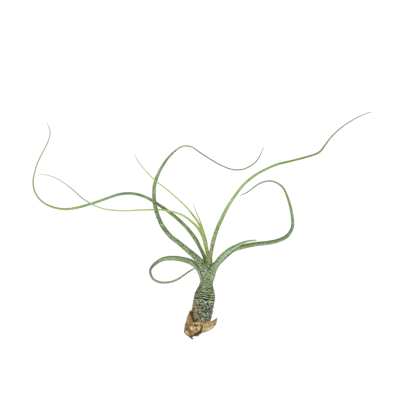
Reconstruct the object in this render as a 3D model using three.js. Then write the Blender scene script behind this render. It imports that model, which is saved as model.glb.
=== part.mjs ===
// Air plant, as picked and lying on its side on a flat surface. Millimetres, +Z up.
//
// The plant lies along Y with its foot towards -Y. Nine leaves grow on a short stem. Each one starts as a
// broad sheath, an open half shell, and the sheaths lie in pairs inside each other and make the bulb. Above
// the neck each leaf leaves the bundle, narrows, and rolls into a channelled blade that thins to a thread.
// The origin is the flat spot under the bulb, where it rests. Two low leaves touch the surface as well.

import * as THREE from 'three';

// ---- Driving dimensions: the bulb

const BULB_AXIS_HEIGHT = 7.8;
const SHOULDER_Y = 5;
const NECK_Y = 17.6;
const FOOT_Y = -18.4;
const FOOT_RADIUS = 3.6;
const FOOT_WALL = 0.7;
const FOOT_CLOSING_LENGTH = 8;

// The layers of sheaths, outermost first and 0.3 mm apart. The innermost is one solid young leaf. Each layer
// starts higher up the stem than the one round it, where the stem is thinner. opening: how much the radius
// grows with each millimetre above the neck.
const LAYERS = [
  { bellyRadius: 8.4, bellyWall: 1.1, neckRadius: 5.1, neckWall: 0.75, opening: 0.06 },
  { bellyRadius: 7, bellyWall: 0.9, neckRadius: 4.05, neckWall: 0.75, opening: 0.06 },
  { bellyRadius: 5.8, bellyWall: 0.8, neckRadius: 3, neckWall: 0.7, opening: 0.04 },
  { bellyRadius: 4.7, bellyWall: 0.7, neckRadius: 2, neckWall: 0.7, opening: 0.01 },
  { bellyRadius: 2.6, neckRadius: 0.7, opening: 0, solid: true },
];
const LAYER_LIFT = 2.4;
const LAYER_STEP_AT_FOOT = 0.5;
const MARGIN_SLIT = 0.4;

// ---- Driving dimensions: the blades

const ROLLING_LENGTH = 22;
const ROLLED_WALL_SHARE = 0.5;
const THINNEST_BLADE = 0.6;
const FULL_GROOVE_RADIUS = 1.5;
const NO_GROOVE_RADIUS = 0.55;
const SHEATH_STATION_SPACING = 4;
const STATIONS_PER_SPAN = 2;

// How far a leaf reaches round its section, in degrees from its keel, by the distance from where it parts
// from the bundle: a half shell in the bulb, narrower in the throat, and rolled up in the blade.
const REACH = [[-9, 90], [0, 66], [6, 62], [14, 85], [26, 138]];

const rad = THREE.MathUtils.degToRad;
const { clamp, lerp } = THREE.MathUtils;

const plant = new THREE.Group();

// Smooth value at x from a list of [x, value] keys.
function fromKeys(keys, x) {
  const next = keys.findIndex((key) => key[0] > x);
  if (next === 0) return keys[0][1];
  if (next < 0) return keys.at(-1)[1];
  const [x0, low] = keys[next - 1];
  const [x1, high] = keys[next];
  return lerp(low, high, THREE.MathUtils.smoothstep(x, x0, x1));
}

function add(name, geometry, colour, roughness) {
  const material = new THREE.MeshStandardMaterial({ color: colour, roughness, metalness: 0 });
  const mesh = new THREE.Mesh(geometry, material);
  mesh.name = name;
  plant.add(mesh);
}

// ---- The bulb's axis and its outline

// The axis leans to +X and rises a little towards the neck.
function axisAt(y) {
  const lean = 0.175 * y - 0.0019 * y * y;
  const rise = 0.035 * (y + Math.hypot(y, 6));
  return new THREE.Vector3(lean, y, BULB_AXIS_HEIGHT + rise);
}

// Directions across the axis at height y: u points to the side, v up, and along follows the axis.
function axisFrame(y) {
  const along = axisAt(y + 0.1).sub(axisAt(y - 0.1)).normalize();
  const u = new THREE.Vector3(1, 0, 0).addScaledVector(along, -along.x).normalize();
  const v = u.clone().cross(along);
  return { along, u, v };
}

function neckShare(y) {
  const t = clamp((y - SHOULDER_Y) / (NECK_Y - SHOULDER_Y), 0, 1);
  return (1 - Math.cos(Math.PI * t)) / 2;
}

// Outer radius and wall of a layer, 0 outermost, at height y.
function sheathSize(index, y) {
  const layer = LAYERS[index];
  const share = neckShare(y);
  const start = FOOT_Y + index * LAYER_LIFT;
  const closing = Math.sin((Math.PI / 2) * clamp((y - start) / FOOT_CLOSING_LENGTH, 0, 1));
  const opening = layer.opening * Math.max(0, y - NECK_Y);
  const crown = lerp(layer.bellyRadius, layer.neckRadius, share) + opening;
  const radius = lerp(FOOT_RADIUS - index * LAYER_STEP_AT_FOOT, crown, closing);
  if (layer.solid) return { radius, wall: 0 };
  return { radius, wall: lerp(FOOT_WALL, lerp(layer.bellyWall, layer.neckWall, share), closing) };
}

// ---- A leaf as one closed sweep

// One section, counter-clockwise seen against the sweep: the outer arc, then the inner side back. With
// groove 1 the inner side is an arc inside the wall. With groove 0 it closes the circle to a round rod.
function leafSection(count, radius, wall, halfAngle, groove) {
  const points = [];
  for (let i = 0; i < count; i += 1) {
    const angle = lerp(-halfAngle, halfAngle, i / (count - 1));
    points.push(new THREE.Vector2(radius * Math.cos(angle), radius * Math.sin(angle)));
  }
  for (let i = 0; i < count; i += 1) {
    const t = i / (count - 1);
    const inner = lerp(halfAngle, -halfAngle, t);
    const open = lerp(halfAngle, 2 * Math.PI - halfAngle, (i + 0.5) / count);
    const depth = radius - wall;
    const x = lerp(radius * Math.cos(open), depth * Math.cos(inner), groove);
    const y = lerp(radius * Math.sin(open), depth * Math.sin(inner), groove);
    points.push(new THREE.Vector2(x, y));
  }
  return points;
}

// Joins the sections of a list of stations into one closed solid. Nothing reaches below the resting surface.
function sweep(stations) {
  const positions = [];
  const indices = [];
  for (const { centre, out, across, section } of stations) {
    for (const point of section) {
      const corner = centre.clone().addScaledVector(out, point.x).addScaledVector(across, point.y);
      positions.push(corner.x, corner.y, Math.max(0, corner.z));
    }
  }
  const ring = stations[0].section.length;
  for (let i = 0; i + 1 < stations.length; i += 1) {
    for (let j = 0; j < ring; j += 1) {
      const a = i * ring + j;
      const b = i * ring + ((j + 1) % ring);
      indices.push(a, b, b + ring, a, b + ring, a + ring);
    }
  }
  const last = (stations.length - 1) * ring;
  for (const [a, b, c] of THREE.ShapeUtils.triangulateShape(stations[0].section, [])) indices.push(a, c, b);
  for (const [a, b, c] of THREE.ShapeUtils.triangulateShape(stations.at(-1).section, [])) {
    indices.push(last + a, last + b, last + c);
  }
  const geometry = new THREE.BufferGeometry();
  geometry.setAttribute('position', new THREE.Float32BufferAttribute(positions, 3));
  geometry.setIndex(indices);
  return geometry;
}

// The sheath's stations, from its seat on the stem to the height where the leaf leaves the bundle.
function sheathStations(leaf) {
  const { layer, azimuth, leaves, corners } = leaf;
  const start = FOOT_Y + layer * LAYER_LIFT;
  const heights = [0, 0.15, 0.38, 0.69, 1].map((share) => start + share * FOOT_CLOSING_LENGTH);
  const closed = heights.at(-1);
  const steps = Math.round((leaves - closed) / SHEATH_STATION_SPACING);
  for (let i = 1; i <= steps; i += 1) heights.push(lerp(closed, leaves, i / steps));
  return heights.map((y) => {
    const { along, u, v } = axisFrame(y);
    const out = u.multiplyScalar(Math.cos(rad(azimuth))).addScaledVector(v, Math.sin(rad(azimuth)));
    const { radius, wall } = sheathSize(layer, y);
    const halfAngle = rad(fromKeys(REACH, y - leaves)) - MARGIN_SLIT / 2 / radius;
    return {
      centre: axisAt(y),
      out,
      across: along.clone().cross(out),
      radius,
      wall,
      section: leafSection(corners, radius, wall, halfAngle, wall > 0 ? 1 : 0),
    };
  });
}

// The blade's stations. The section turns with the route and keeps its outer side, and the blade rolls up
// and loses its groove towards the tip.
function bladeStations(leaf, foot) {
  const { route, corners, leaves } = leaf;
  const first = foot.centre.clone().addScaledVector(axisFrame(leaves).along, -SHEATH_STATION_SPACING);
  const points = [first, foot.centre, ...route.map(([x, y, z]) => new THREE.Vector3(x, y, z))];
  const radii = [foot.radius, foot.radius, ...route.map((point) => point[3])];
  const curve = new THREE.CatmullRomCurve3(points, false, 'centripetal');
  const widths = new THREE.SplineCurve(radii.map((radius, i) => new THREE.Vector2(i, radius)));
  const spans = points.length - 1;
  const total = (spans - 1) * STATIONS_PER_SPAN;
  const stations = [];
  let out = foot.out.clone();
  let before = foot.centre.clone();
  let travelled = 0;
  for (let i = 1; i <= total; i += 1) {
    const t = (1 + i / STATIONS_PER_SPAN) / spans;
    const centre = curve.getPoint(t);
    const along = curve.getTangent(t);
    travelled += centre.distanceTo(before);
    before = centre;
    out = out.addScaledVector(along, -out.dot(along)).normalize();
    const radius = widths.getPoint(t).y;
    const rolled = clamp(travelled / ROLLING_LENGTH, 0, 1);
    const wall = Math.max(THINNEST_BLADE, lerp(foot.wall, ROLLED_WALL_SHARE * radius, rolled));
    const halfAngle = rad(fromKeys(REACH, travelled));
    const hollow = clamp((radius - NO_GROOVE_RADIUS) / (FULL_GROOVE_RADIUS - NO_GROOVE_RADIUS), 0, 1);
    const groove = foot.wall > 0 ? hollow : 0;
    stations.push({
      centre,
      out: out.clone(),
      across: along.clone().cross(out),
      section: leafSection(corners, radius, Math.min(wall, 0.9 * radius), halfAngle, groove),
    });
  }
  return stations;
}

function leafGeometry(leaf) {
  const sheath = sheathStations(leaf);
  return sweep([...sheath, ...bladeStations(leaf, sheath.at(-1))]);
}

// ---- The leaves, oldest first
//
// layer: how far in its sheath lies. azimuth: the side its sheath lies on, 0 at +X and 90 on top. leaves: the
// height y where it parts from the bundle. corners: of each of the section's two arcs.
// route: the middle of the blade and its radius, [x, y, z, radius].

const LEAVES = [
  {
    name: 'leaf_1_left_loop',
    layer: 0,
    azimuth: 235,
    leaves: 18,
    corners: 9,
    colour: 0x8fa173,
    route: [
      [1.9, 22, 8.6, 5.25], [0.3, 25, 7.4, 4.7], [-2.2, 28, 6.6, 3.8], [-5.5, 30.8, 6, 3],
      [-9.5, 33, 5, 2.45], [-14.5, 34.6, 4.1, 2.15], [-22.5, 36, 3.2, 2], [-31.5, 35.5, 2.5, 1.7],
      [-38.5, 32, 2, 1.3], [-42.5, 27, 1.6, 1], [-42, 22.5, 1.4, 1], [-39.5, 19, 1.6, 0.95],
      [-34.5, 17, 2.4, 0.92], [-28, 17, 4, 0.88], [-21.5, 19, 6.2, 0.8], [-16, 22.5, 9, 0.7],
      [-11, 26, 11.8, 0.58], [-6.5, 28.5, 14.5, 0.4],
    ],
  },
  {
    name: 'leaf_2_short_right',
    layer: 0,
    azimuth: 55,
    leaves: 17,
    corners: 9,
    colour: 0x7d9163,
    route: [
      [3.1, 20, 9.7, 5.2], [4.5, 23, 10.8, 5.1], [6.4, 26.5, 12.2, 4.4], [9.5, 30.7, 13.5, 3.3],
      [14.2, 36.6, 14.8, 2.7], [20.7, 42.6, 16.2, 2.1], [26.8, 46.1, 17.8, 1.6], [33.5, 49.5, 19.8, 0.9],
      [38.5, 50, 21.2, 0.6], [42.5, 50.5, 22.4, 0.4],
    ],
  },
  {
    name: 'leaf_3_hooked_right',
    layer: 1,
    azimuth: 295,
    leaves: 21,
    corners: 9,
    colour: 0x7c8f62,
    route: [
      [4.4, 25, 8.9, 4.3], [6.6, 28.5, 7.4, 3.7], [10.1, 31.8, 6, 3], [14, 35.3, 4.9, 2.5],
      [18.5, 39.3, 4, 2.2], [24.3, 43.4, 3.1, 2], [32, 45.6, 2.6, 1.9], [42, 47.5, 2.2, 1.8],
      [51, 48.5, 1.9, 1.7], [60, 50.5, 1.7, 1.6], [67.2, 54.3, 1.5, 1.5], [71, 61, 1.3, 1.3],
      [71, 69, 1.2, 1.2], [69.5, 77.5, 1.6, 1.1], [67, 85.5, 3.2, 0.9], [64, 92, 6.5, 0.8],
      [59.5, 96, 11, 0.7], [53.5, 98, 16.5, 0.65], [46, 96.5, 22, 0.6], [39.5, 92.5, 26.5, 0.5],
      [35, 89, 30, 0.45], [29.5, 86.5, 33.5, 0.35],
    ],
  },
  {
    name: 'leaf_4_tall_hook',
    layer: 1,
    azimuth: 115,
    leaves: 21,
    corners: 9,
    colour: 0x80906a,
    route: [
      [2.7, 24, 9.9, 4.35], [1.4, 27, 10.7, 4.1], [-0.4, 30, 11.8, 3.65], [-2.6, 33.4, 13.7, 3],
      [-6.4, 37.3, 16, 2.5], [-12, 42.2, 18.8, 2.15], [-19.5, 48.5, 22.3, 2], [-26.5, 54, 25, 1.9],
      [-33, 62.5, 28.5, 1.75], [-37.5, 73, 32, 1.55], [-39.5, 84, 35, 1.45], [-39, 95, 37.5, 1.4],
      [-35, 106, 39.5, 1.25], [-28.5, 116, 41, 0.95], [-22.5, 122, 41.8, 0.72], [-17, 125.5, 42, 0.56],
      [-10.5, 125.5, 41.5, 0.5], [-2.5, 120.5, 40, 0.5], [6, 115, 38.5, 0.5], [15, 110, 37.5, 0.48],
      [24, 107, 37.5, 0.48], [32, 107.5, 38.5, 0.45], [39, 111, 40.5, 0.42], [43.5, 115.5, 43, 0.4],
      [47.5, 124, 47, 0.35],
    ],
  },
  {
    name: 'leaf_5_far_left',
    layer: 2,
    azimuth: 205,
    leaves: 31,
    corners: 8,
    colour: 0x6d8647,
    route: [
      [3, 35, 10.1, 3.4], [1.7, 38.5, 9.7, 2.8], [-0.4, 42, 9.1, 2.3], [-2.8, 46, 8.3, 1.9],
      [-6.6, 52, 7.2, 1.75], [-13.1, 60.3, 6, 1.6], [-21, 68, 4.8, 1.5], [-28.5, 74, 3.8, 1.4],
      [-36.5, 79.5, 3, 1.3], [-44, 84, 2.3, 1.22], [-52, 87, 1.7, 1.18], [-60, 88, 1.3, 1.12],
      [-68, 87, 1.1, 1.1], [-78.5, 83.5, 1.05, 1.05], [-89.5, 80, 1, 0.98], [-100, 77, 1.1, 0.92],
      [-110.5, 75.5, 2, 0.82], [-121.5, 77.5, 5, 0.66], [-129.5, 82, 9.5, 0.58], [-135, 89, 15, 0.54],
      [-136.5, 97, 20.5, 0.48], [-135, 105, 25.5, 0.44], [-132, 113.5, 30.5, 0.42],
      [-128, 121.5, 35, 0.4], [-124, 129.5, 39, 0.4], [-122.5, 136, 42.5, 0.38], [-123.5, 141, 45, 0.36],
      [-125, 144.5, 47, 0.35],
    ],
  },
  {
    name: 'leaf_6_far_right',
    layer: 2,
    azimuth: 25,
    leaves: 30,
    corners: 8,
    colour: 0x86a05c,
    route: [
      [4.7, 33.5, 11.1, 3.2], [5.8, 37.5, 12.6, 2.7], [6.8, 42.5, 14.6, 2.1], [8.2, 50.5, 17.2, 1.75],
      [11, 60, 20, 1.6], [15, 69, 23, 1.5], [20, 78.5, 26, 1.35], [26, 87.5, 29, 1.25],
      [32.5, 95.5, 32, 1.15], [41, 102.5, 34.5, 1.05], [49, 107, 36.5, 1], [58, 111, 38.5, 0.95],
      [70, 114, 40.5, 0.92], [81.5, 117, 42, 0.88], [91.5, 121.5, 43.5, 0.8], [97, 126, 44.5, 0.72],
      [102, 132.5, 45.5, 0.62], [111, 141, 47.5, 0.52], [121.5, 148, 49, 0.45], [130.5, 152, 50, 0.4],
      [134.5, 153, 50.5, 0.35],
    ],
  },
  {
    name: 'leaf_7_thin_left',
    layer: 3,
    azimuth: 280,
    leaves: 36,
    corners: 7,
    colour: 0x9db575,
    route: [
      [3.6, 40, 10.2, 2.1], [2.8, 43.5, 9.7, 1.8], [1.5, 48, 9.2, 1.4], [-0.5, 53.5, 8.9, 1.15],
      [-4.5, 60.5, 9, 0.95], [-9.5, 65.5, 9.3, 0.88], [-16.5, 70.5, 9.5, 0.8], [-25, 73.5, 9.5, 0.72],
      [-34.5, 75, 9.3, 0.66], [-46.5, 75, 8.8, 0.6], [-60, 74.5, 8, 0.56], [-73, 74.5, 7, 0.52],
      [-84, 77, 6.2, 0.48], [-92, 80, 6, 0.45], [-99.5, 86, 7, 0.42], [-107.5, 93, 9, 0.4],
      [-115.5, 99, 11.5, 0.38], [-124, 102.5, 14, 0.36], [-133, 103.5, 16.5, 0.35],
    ],
  },
  {
    name: 'leaf_8_thin_upper',
    layer: 3,
    azimuth: 100,
    leaves: 36,
    corners: 7,
    colour: 0xa4be80,
    route: [
      [3.9, 40, 11.5, 2.1], [3.4, 43.5, 12.7, 1.9], [2.2, 48, 14.2, 1.5], [0.2, 53, 16, 1.05],
      [-3, 62.5, 19.5, 0.88], [-9, 71.5, 24, 0.72], [-14.5, 78, 28, 0.64], [-22, 85, 32.5, 0.6],
      [-29, 91, 37, 0.56], [-38, 98, 42, 0.52], [-46.5, 106.5, 46.5, 0.46], [-52, 113.5, 50, 0.4],
      [-55.5, 119.5, 52.5, 0.35],
    ],
  },
  {
    name: 'leaf_9_centre_spike',
    layer: 4,
    azimuth: 60,
    leaves: 40,
    corners: 5,
    colour: 0xaac486,
    route: [
      [3.7, 44, 11.2, 0.7], [2.6, 50, 12, 0.62], [0, 58, 13.5, 0.56], [-3, 66.5, 15.5, 0.5],
      [-5.5, 72.5, 17, 0.42], [-8.5, 80, 19, 0.35],
    ],
  },
];

for (const leaf of LEAVES) add(leaf.name, leafGeometry(leaf), leaf.colour, 0.6);

// ---- The stem, stepped where each layer of sheaths is seated round it

const STEM_PROFILE = [
  [-26, 1.2], [-25.4, 1.9], [-23.5, 2.4], [-20.5, 2.6], [-17.2, 2.6], [-16.2, 2.1], [-14.8, 2.1],
  [-13.8, 1.6], [-12.4, 1.6], [-11.4, 1.1], [-9.1, 1.1],
];
const STEM_CORNERS = 6;

function stemGeometry() {
  const stations = STEM_PROFILE.map(([y, radius]) => {
    const { along, u } = axisFrame(y);
    const section = leafSection(STEM_CORNERS, radius, 0, Math.PI / 2, 0);
    return { centre: axisAt(y), out: u, across: along.clone().cross(u), section };
  });
  return sweep(stations);
}

add('stem', stemGeometry(), 0x5a4632, 0.85);

// ---- Dry rests of old leaf bases and roots at the foot

// A thin curved scale or a thread: route [x, y, z, radius of its curve, half angle in degrees].
function trimGeometry({ route, azimuth, wall, corners }) {
  const points = route.map(([x, y, z]) => new THREE.Vector3(x, y, z));
  const curve = new THREE.CatmullRomCurve3(points, false, 'centripetal');
  const total = (points.length - 1) * STATIONS_PER_SPAN;
  let out = null;
  const stations = [];
  for (let i = 0; i <= total; i += 1) {
    const t = i / total;
    const along = curve.getTangent(t);
    const span = Math.min(points.length - 2, Math.floor(i / STATIONS_PER_SPAN));
    const share = i / STATIONS_PER_SPAN - span;
    const radius = lerp(route[span][3], route[span + 1][3], share);
    const halfAngle = rad(lerp(route[span][4], route[span + 1][4], share));
    if (!out) out = new THREE.Vector3(Math.cos(rad(azimuth)), 0, Math.sin(rad(azimuth)));
    out = out.clone().addScaledVector(along, -out.dot(along)).normalize();
    const section = leafSection(corners, radius, wall, halfAngle, wall > 0 ? 1 : 0);
    stations.push({ centre: curve.getPoint(t), out, across: along.clone().cross(out), section });
  }
  return sweep(stations);
}

const DRY_COLOUR = 0xae8a55;
const DRY_WALL = 0.65;

add('dry_scale_left', trimGeometry({
  azimuth: 155,
  wall: DRY_WALL,
  corners: 8,
  route: [
    [-5.9, -25.4, 7.8, 5.6, 37], [-6.4, -23.6, 7.9, 8.4, 52], [-5.9, -20.5, 8, 8.7, 51],
    [-5, -16, 8, 9, 43], [-3.8, -11.5, 8.2, 9.1, 26], [-2.9, -8.8, 8.3, 9.2, 12],
    [-2.5, -7.5, 8.4, 9.2, 3],
  ],
}), DRY_COLOUR, 0.8);

add('dry_scale_right', trimGeometry({
  azimuth: 65,
  wall: DRY_WALL,
  corners: 8,
  route: [
    [-4.6, -22.4, 7.6, 4.6, 44], [-3, -20.6, 8.5, 5.2, 52], [0, -18.6, 9.3, 5.3, 58],
    [4.4, -17.3, 10.1, 4.7, 58], [8, -15.7, 10.6, 3.6, 48], [10, -13.3, 10.8, 2.4, 34],
    [11, -10.9, 11, 1.6, 16],
  ],
}), DRY_COLOUR, 0.8);

add('dry_scale_front', trimGeometry({
  azimuth: 87,
  wall: DRY_WALL,
  corners: 8,
  route: [
    [-6.3, -24, 5.5, 8.8, 12], [-5.8, -22.9, 5.8, 9, 20], [-4.9, -21.2, 6.2, 9.3, 27],
    [-4.1, -19.4, 6.7, 9.3, 29], [-3.7, -17.8, 7, 9.3, 28], [-3.6, -16.8, 7, 9.3, 22],
  ],
}), 0x96703f, 0.8);

add('root_stub_left', trimGeometry({
  azimuth: 90,
  wall: 0,
  corners: 4,
  route: [
    [-6.3, -26.5, 7.5, 0.7, 90], [-7.6, -27.1, 6.9, 0.85, 90], [-9.6, -27.4, 6.2, 0.8, 90],
    [-11, -27.2, 5.8, 0.5, 90],
  ],
}), 0x3c3026, 0.9);

add('root_stub_right', trimGeometry({
  azimuth: 90,
  wall: 0,
  corners: 4,
  route: [
    [-6.4, -26.8, 8.9, 0.65, 90], [-7.4, -27.8, 8.6, 0.7, 90], [-8.9, -28.4, 8.2, 0.5, 90],
  ],
}), 0x3c3026, 0.9);

export default plant;
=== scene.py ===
import math

import bmesh
import bpy
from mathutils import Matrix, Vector, noise


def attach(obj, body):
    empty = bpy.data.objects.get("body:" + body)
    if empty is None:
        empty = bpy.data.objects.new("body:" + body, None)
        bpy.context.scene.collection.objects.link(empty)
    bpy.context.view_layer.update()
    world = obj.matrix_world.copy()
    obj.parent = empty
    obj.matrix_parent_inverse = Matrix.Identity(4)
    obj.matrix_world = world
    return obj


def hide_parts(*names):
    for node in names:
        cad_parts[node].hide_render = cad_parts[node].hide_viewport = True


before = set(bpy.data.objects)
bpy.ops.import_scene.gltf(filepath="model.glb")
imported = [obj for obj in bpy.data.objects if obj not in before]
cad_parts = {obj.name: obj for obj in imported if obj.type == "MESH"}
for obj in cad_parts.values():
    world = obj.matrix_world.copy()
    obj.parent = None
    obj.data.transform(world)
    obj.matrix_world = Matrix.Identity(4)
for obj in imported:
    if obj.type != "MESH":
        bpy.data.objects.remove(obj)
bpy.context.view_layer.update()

# ---- The stem
#
# A short woody stem, 17.5 mm long, that all the leaves grow on. It sits inside the bulb, and only its dry
# lower end shows between the old leaf bases, where it was snapped off. Its brown bark has ridges where old
# leaves fell off. It is made as a skin: a ring that is pulled along the stem from station to station.

MM = 0.001
BULB_AXIS_HEIGHT = 7.8
AXIS_LEAN = 0.175
AXIS_BEND = 0.0019
AXIS_RISE = 0.035
AXIS_RISE_ROUNDING = 6
STEM_PROFILE = [
    (-26, 1.2), (-25.4, 1.9), (-23.5, 2.4), (-20.5, 2.6), (-17.2, 2.6), (-16.2, 2.1), (-14.8, 2.1),
    (-13.8, 1.6), (-12.4, 1.6), (-11.4, 1.1), (-9.1, 1.1),
]
STEM_CORNERS = 40
STEM_STEP = 0.3
STEM_TOP = -9
BARK_RELIEF = 0.25


def between(low, high, share):
    return low + (high - low) * share


def ease(low, high, value):
    """0 below low, 1 above high, and smooth between them."""
    share = min(1, max(0, (value - low) / (high - low)))
    return share * share * (3 - 2 * share)


def along_keys(keys, value):
    """The smooth value of a list of (place, value) keys."""
    for (start, low), (end, high) in zip(keys, keys[1:]):
        if value < end:
            return between(low, high, ease(start, end, value))
    return keys[-1][1]


def axis_at(y):
    """The middle of the bulb at height y. It leans to +X and rises a little towards the neck."""
    height = BULB_AXIS_HEIGHT + AXIS_RISE * (y + math.hypot(y, AXIS_RISE_ROUNDING))
    return Vector((AXIS_LEAN * y - AXIS_BEND * y * y, y, height))


def axis_frame(y):
    """Directions at height y: along the axis, to the side and up."""
    along = (axis_at(y + 0.1) - axis_at(y - 0.1)).normalized()
    aside = (Vector((1, 0, 0)) - along * along.x).normalized()
    return along, aside, aside.cross(along)


def pull_skin(name, rings, marks, tip=None):
    """A closed skin through rings of corners. A corner is its place in mm and the values of its marks."""
    mesh = bmesh.new()
    layers = [mesh.verts.layers.float.new(mark) for mark in marks]
    bmesh.ops.create_circle(mesh, cap_ends=True, segments=len(rings[0]), radius=MM)
    end = list(mesh.faces)[0]
    for number, ring in enumerate(rings):
        if number:
            pulled = bmesh.ops.extrude_face_region(mesh, geom=[end])
            # The old end would stay inside as a wall. The first one stays, because it closes the skin's foot.
            if number > 1:
                bmesh.ops.delete(mesh, geom=[end], context="FACES_ONLY")
            end = [part for part in pulled["geom"] if isinstance(part, bmesh.types.BMFace)][0]
        for corner, (place, values) in zip(end.verts, ring):
            corner.co = place * MM
            corner.co.z = max(0, corner.co.z)
            for layer, value in zip(layers, values):
                corner[layer] = value
    if tip is not None:
        bmesh.ops.pointmerge(mesh, verts=list(end.verts), merge_co=tip * MM)
    bmesh.ops.recalc_face_normals(mesh, faces=list(mesh.faces))
    for face in mesh.faces:
        face.smooth = True
    data = bpy.data.meshes.new(name)
    mesh.to_mesh(data)
    mesh.free()
    piece = bpy.data.objects.new(name, data)
    bpy.context.scene.collection.objects.link(piece)
    return piece


def dye(red, green, blue):
    """A colour as a screen shows it, 0 to 255, as the light that it reflects."""
    parts = [part / 255 for part in (red, green, blue)]
    light = [part / 12.92 if part <= 0.04045 else ((part + 0.055) / 1.055) ** 2.4 for part in parts]
    return tuple(light) + (1,)


class Tint:
    """One output of a material's nodes. It combines with numbers and other outputs as plain numbers do."""

    def __init__(self, paint, socket):
        self.paint = paint
        self.socket = socket

    def __add__(self, other):
        return self.paint.reckon("ADD", self, other)

    def __sub__(self, other):
        return self.paint.reckon("SUBTRACT", self, other)

    def __rsub__(self, other):
        return self.paint.reckon("SUBTRACT", other, self)

    def __mul__(self, other):
        return self.paint.reckon("MULTIPLY", self, other)

    def eased(self, low, high):
        """0 below low, 1 above high, and smooth between them."""
        ends = {"Value": self, "From Min": low, "From Max": high}
        return self.paint.node("ShaderNodeMapRange", ends, interpolation_type="SMOOTHSTEP")


class Paint:
    """A material under construction."""

    def __init__(self, name, gloss):
        self.material = bpy.data.materials.new(name)
        self.material.use_nodes = True
        self.tree = self.material.node_tree
        self.shader = self.tree.nodes["Principled BSDF"]
        self.shader.inputs["Specular IOR Level"].default_value = gloss

    def node(self, kind, sockets, output=0, **settings):
        """Any node: its settings first, then the values or links of its sockets."""
        made = self.tree.nodes.new(kind)
        for setting, value in settings.items():
            setattr(made, setting, value)
        for socket, value in sockets.items():
            if isinstance(value, Tint):
                self.tree.links.new(value.socket, made.inputs[socket])
            else:
                made.inputs[socket].default_value = value
        return Tint(self, made.outputs[output])

    def reckon(self, operation, first, second):
        return self.node("ShaderNodeMath", {0: first, 1: second}, operation=operation)

    def mark(self, name):
        """The value that the mesh carries under this name."""
        return self.node("ShaderNodeAttribute", {}, output=2, attribute_name=name)

    def point(self, x, y, z):
        return self.node("ShaderNodeCombineXYZ", {"X": x, "Y": y, "Z": z})

    def place(self):
        """Where the surface is, in mm."""
        place = self.node("ShaderNodeTexCoord", {}, output=3)
        return self.node("ShaderNodeVectorMath", {0: place, "Scale": 1 / MM}, operation="SCALE")

    def grain(self, place, size, detail=2.0, warp=0.0):
        """Cloudy noise from 0 to 1, with spots about size mm apart."""
        sockets = {"Vector": place, "Scale": 1 / size, "Detail": detail, "Distortion": warp}
        return self.node("ShaderNodeTexNoise", sockets)

    def mix(self, under, over, share):
        """Colour under with colour over laid on it, as much as share says."""
        return self.node("ShaderNodeMix", {0: share, 6: under, 7: over}, output=2, data_type="RGBA")

    def finish(self, piece, colour, roughness, relief, depth):
        """Puts the material on the piece. relief is a height from 0 to 1, and depth its size in mm."""
        sockets = {"Height": relief, "Distance": depth * MM, "Strength": 1.0}
        bump = self.node("ShaderNodeBump", sockets)
        for socket, value in (("Base Color", colour), ("Roughness", roughness), ("Normal", bump)):
            self.tree.links.new(value.socket, self.shader.inputs[socket])
        piece.data.materials.append(self.material)


def stem_rings():
    start, end = STEM_PROFILE[0][0], STEM_PROFILE[-1][0]
    rings = []
    for number in range(round((end - start) / STEM_STEP) + 1):
        y = start + number * STEM_STEP
        along, aside, up = axis_frame(y)
        radius = along_keys(STEM_PROFILE, y)
        ring = []
        for corner in range(STEM_CORNERS):
            angle = math.tau * corner / STEM_CORNERS
            ridges = 0.12 * noise.noise(Vector((angle * 2, y * 1.4, 3))) + 0.05 * math.sin(y * 5)
            reach = radius * (1 + ridges)
            place = axis_at(y) + aside * (reach * math.cos(angle)) + up * (reach * math.sin(angle))
            ring.append((place, (angle * radius, y)))
        rings.append(ring)
    return rings


stem = pull_skin("stem_bark", stem_rings(), ("round", "along"), tip=axis_at(STEM_TOP))
bark = Paint("dry_bark", gloss=0.2)
fibres = bark.grain(bark.point(bark.mark("round") * 1.6, bark.mark("along") * 0.5, 0.0), 0.9, detail=4.0)
bark_colour = bark.mix(dye(58, 42, 28), dye(136, 104, 68), fibres.eased(0.35, 0.7))
bark.finish(stem, bark_colour, fibres * 0.2 + 0.75, fibres, BARK_RELIEF)
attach(stem, "root")
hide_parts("stem")

# ---- The youngest leaf
#
# A fine spike in the middle of the plant, 92 mm long from its seat on the stem to its tip, and tender: pale
# yellow-green and smooth. Its lower part is a tight roll inside all the other sheaths. Here it is solid.

FOOT_Y = -18.4
FOOT_RADIUS = 3.6
FOOT_WALL = 0.7
FOOT_CLOSING_LENGTH = 8
LAYER_LIFT = 2.4
LAYER_STEP_AT_FOOT = 0.5
SHOULDER_Y = 5
NECK_Y = 17.6
MARGIN_SLIT = 0.4

# Each layer of sheaths, outermost first: radius and wall at the belly, radius and wall at the neck, and how
# much the radius grows with each mm above the neck.
LAYERS = [
    (8.4, 1.1, 5.1, 0.75, 0.06), (7, 0.9, 4.05, 0.75, 0.06), (5.8, 0.8, 3, 0.7, 0.04),
    (4.7, 0.7, 2, 0.7, 0.01), (2.6, 0, 0.7, 0, 0),
]

# How far a leaf reaches round its cut, in degrees from its keel, by the mm from where it leaves the bundle.
REACH = [(-9, 90), (0, 66), (6, 62), (14, 85), (26, 150)]
ROLLING_LENGTH = 22
ROLLED_WALL_SHARE = 0.5
THINNEST_BLADE = 0.6
NO_GROOVE_RADIUS = 0.55
FULL_GROOVE_RADIUS = 1.5
MARGIN_THINNING = 0.35
WITHER = 0.03
DRY_WITHER = 0.1
TIP_LENGTH = 0.4
WELT_SPACING = 3.4
WELT_DRIFT = 2.4
LEAF_RELIEF = 0.14
ROUTE_LEAD = 4
ARC_CORNERS = 41
SHEATH_STEP = 0.45
BLADE_STEP = 1.1
LEAF_MARKS = ("height", "across", "side", "inner", "mottle", "dry", "papery", "tone", "dead")


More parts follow.
